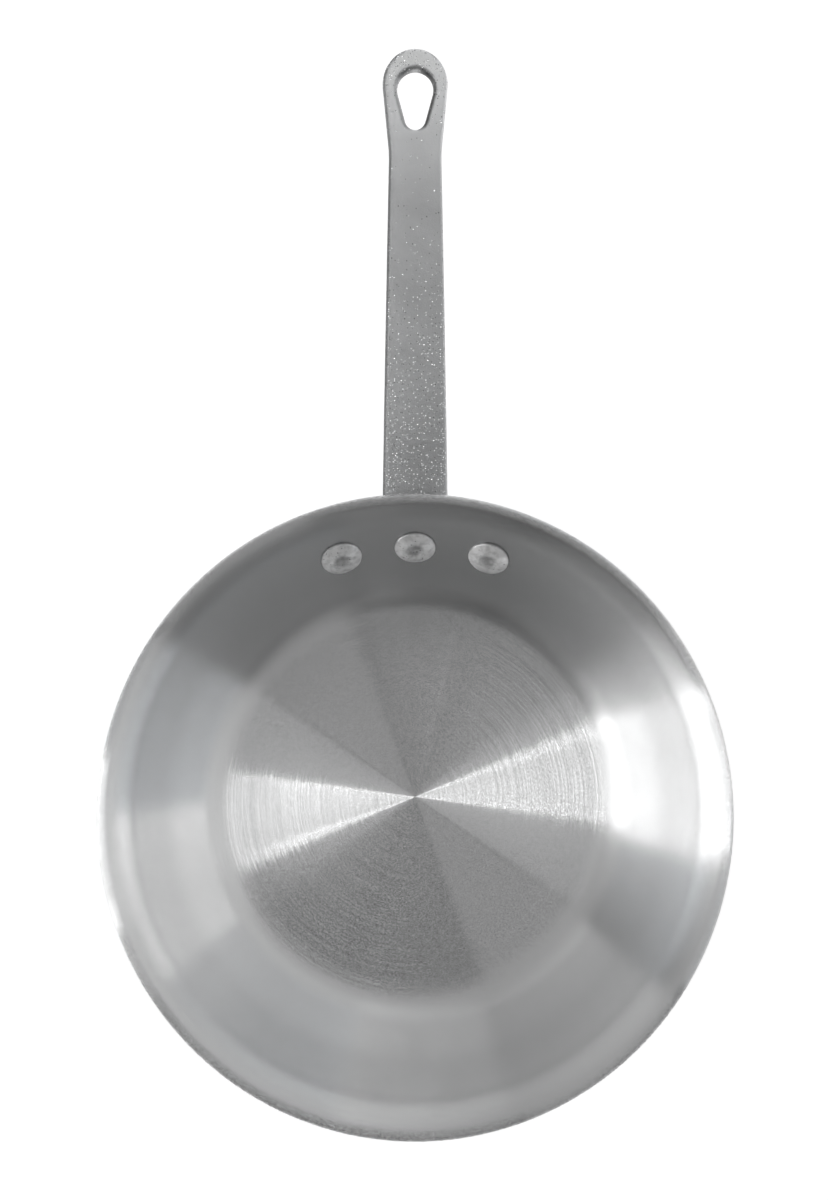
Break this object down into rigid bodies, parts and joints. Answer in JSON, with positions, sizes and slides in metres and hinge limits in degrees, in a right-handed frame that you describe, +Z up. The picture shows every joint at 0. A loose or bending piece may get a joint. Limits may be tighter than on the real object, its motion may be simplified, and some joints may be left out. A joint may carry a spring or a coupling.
{
  "type": "omelette pan",
  "caption": "Low round pan with sloping walls and a flared lip, and a flat riveted handle with an egg-shaped hanging hole.",
  "frame": {"origin": "middle of the flat underside of the base, where the pan rests", "axes": "+Z up out of the bowl, +Y along the handle, +X to the right seen from above with the handle away"},
  "size_m": [0.26, 0.434, 0.0899],
  "materials": {
    "spun_aluminium": "turned, fine circular grooves",
    "cast_aluminium": "as cast, tumbled, fine grain",
    "rivet_aluminium": "satin, as set"
  },
  "bodies": {
    "root": {"pan_body": "spun_aluminium", "handle": "cast_aluminium", "rivet_left": "rivet_aluminium", "rivet_centre": "rivet_aluminium", "rivet_right": "rivet_aluminium"}
  },
  "joints": []
}
